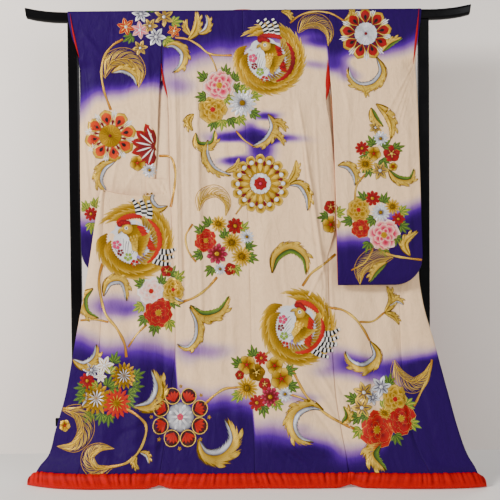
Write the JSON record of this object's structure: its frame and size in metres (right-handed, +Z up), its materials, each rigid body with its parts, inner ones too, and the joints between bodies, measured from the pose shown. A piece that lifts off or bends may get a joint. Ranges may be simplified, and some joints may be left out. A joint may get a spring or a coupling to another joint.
{
  "type": "kimono on a kimono stand",
  "caption": "Long-sleeved padded-hem over-kimono hung by its back on a black lacquer kimono stand, its fronts fanned out on both sides.",
  "frame": {"origin": "on the floor under the middle of the whole part's box", "axes": "+Z up; -Y towards the viewer, whom the kimono's back faces; +X to that viewer's right, along the rail"},
  "size_m": [1.68, 0.4712, 1.76],
  "materials": {
    "silk": "cream figured silk satin, violet shading, gold embroidery, dark red lining",
    "padded_hem": "padded red silk, finely gathered",
    "lacquer": "glossy black lacquer"
  },
  "bodies": {
    "root": {"back_left": "silk", "back_right": "silk", "front_left": "silk", "front_right": "silk", "overlap_left": "silk", "overlap_right": "silk", "collar": "silk", "sleeve_left": "silk", "sleeve_right": "silk", "hem_back": "padded_hem", "hem_left": "padded_hem", "hem_right": "padded_hem", "top_rail": "lacquer", "mid_rail": "lacquer", "lower_rail": "lacquer", "post_left": "lacquer", "post_right": "lacquer", "foot_left": "lacquer", "foot_right": "lacquer"}
  },
  "joints": []
}
